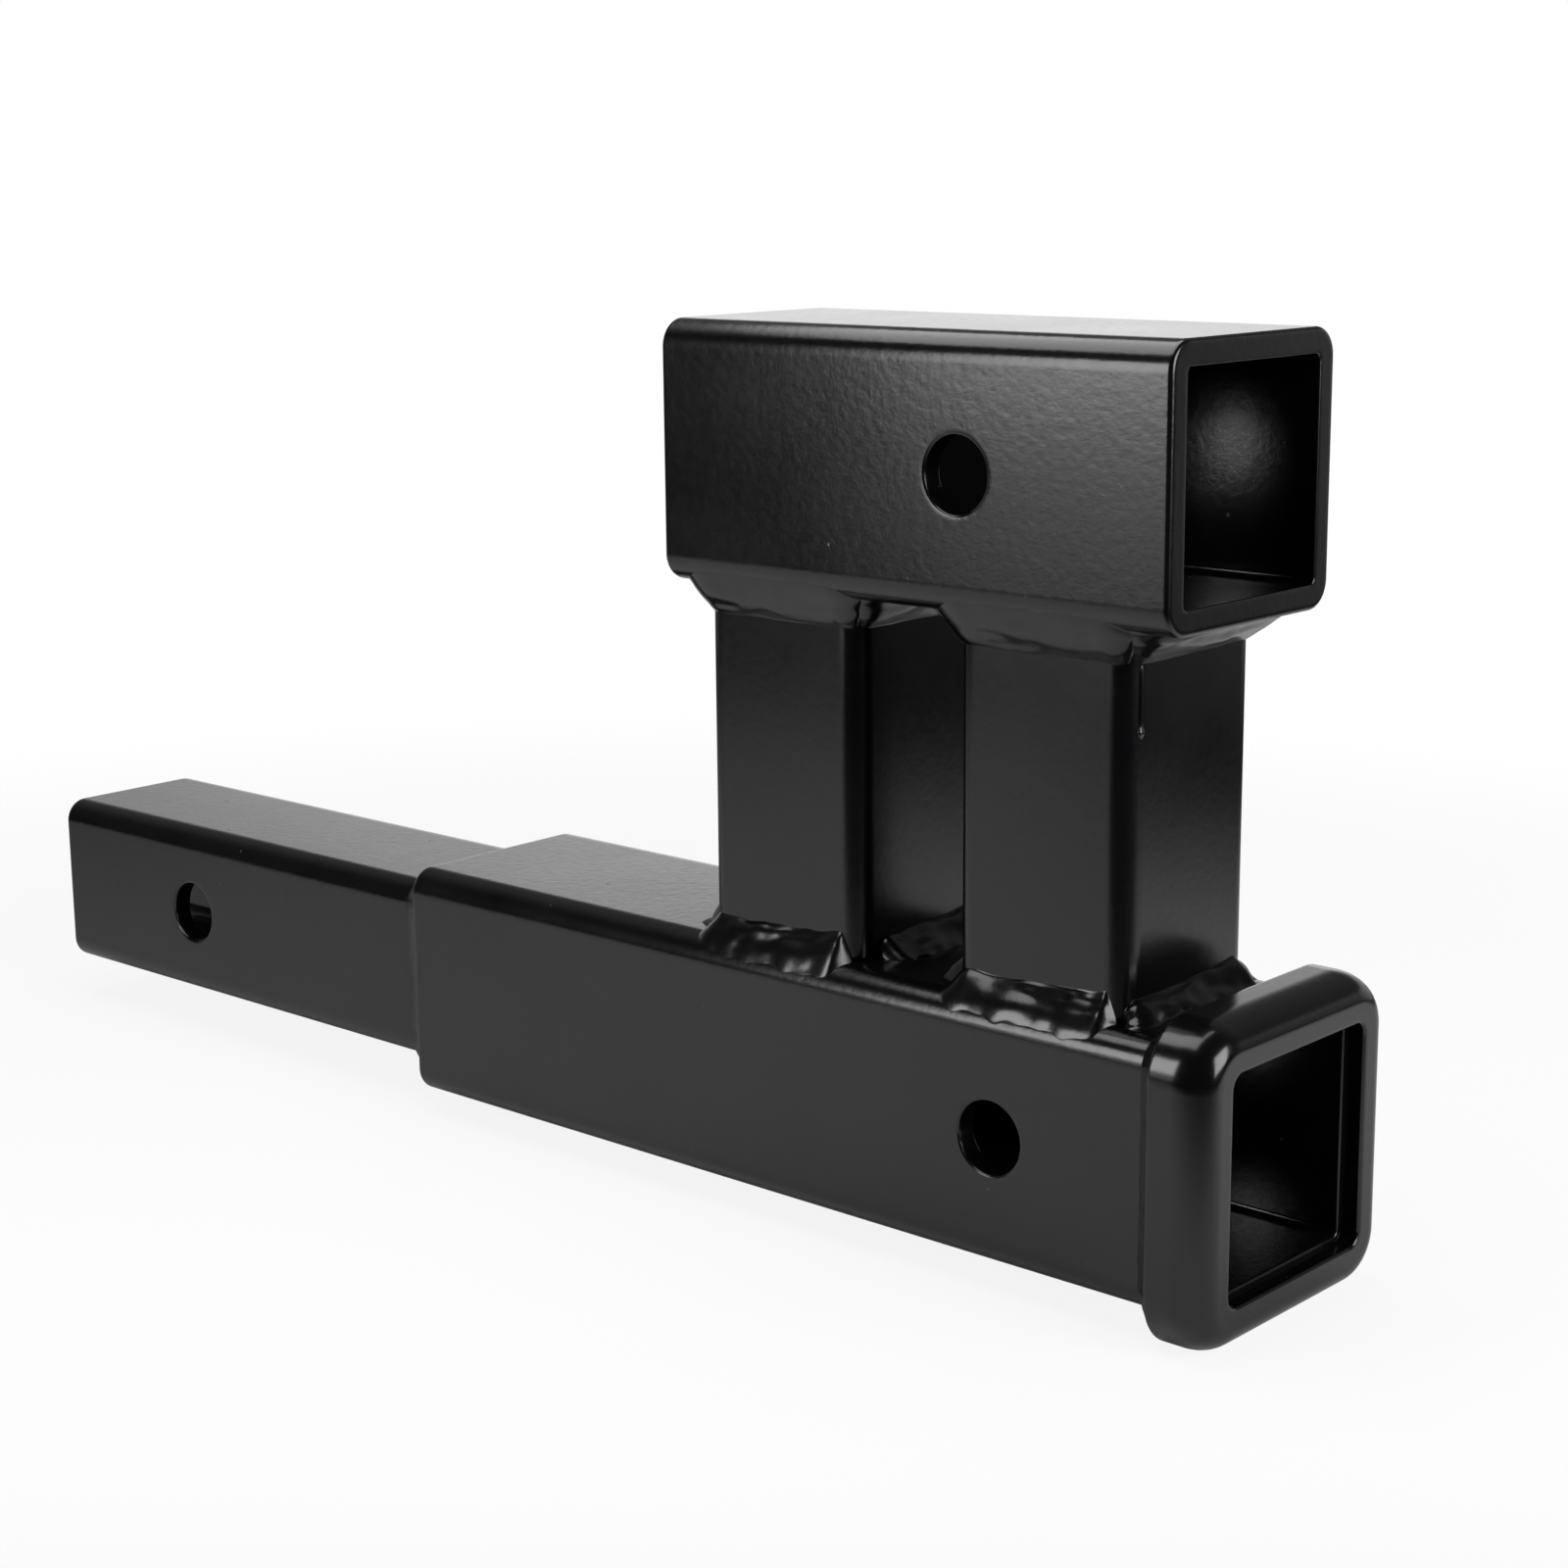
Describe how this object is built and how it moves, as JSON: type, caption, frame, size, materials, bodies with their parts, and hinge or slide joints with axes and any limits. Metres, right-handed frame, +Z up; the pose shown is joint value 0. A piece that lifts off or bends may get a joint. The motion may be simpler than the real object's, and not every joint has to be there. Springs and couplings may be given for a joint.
{
  "type": "dual hitch adapter",
  "caption": "Welded steel hitch adapter: a square shank with a pin hole carries a collared lower receiver tube and, on posts, a raised upper receiver tube.",
  "frame": {"origin": "centre of the shank's pin hole, on the shank's axis", "axes": "+X along the shank towards the receiver mouths, +Y along the pin holes, +Z up to the upper receiver"},
  "size_m": [0.4365, 0.0762, 0.2222],
  "materials": {
    "black_paint": "semi-gloss black powder coat",
    "painted_weld": "glossy black paint over weld beads"
  },
  "bodies": {
    "root": {"shank_tube": "black_paint", "lower_receiver_tube": "black_paint", "lower_receiver_collar": "black_paint", "upper_receiver_tube": "black_paint", "shank_post": "black_paint", "mouth_post": "black_paint", "shank_weld": "painted_weld", "collar_weld": "painted_weld", "shank_post_lower_front_weld": "painted_weld", "shank_post_lower_back_weld": "painted_weld", "shank_post_lower_outer_weld": "painted_weld", "shank_post_lower_inner_weld": "painted_weld", "shank_post_upper_front_weld": "painted_weld", "shank_post_upper_back_weld": "painted_weld", "shank_post_upper_outer_weld": "painted_weld", "shank_post_upper_inner_weld": "painted_weld", "mouth_post_lower_front_weld": "painted_weld", "mouth_post_lower_back_weld": "painted_weld", "mouth_post_lower_outer_weld": "painted_weld", "mouth_post_lower_inner_weld": "painted_weld", "mouth_post_upper_front_weld": "painted_weld", "mouth_post_upper_back_weld": "painted_weld", "mouth_post_upper_outer_weld": "painted_weld", "mouth_post_upper_inner_weld": "painted_weld"}
  },
  "joints": []
}
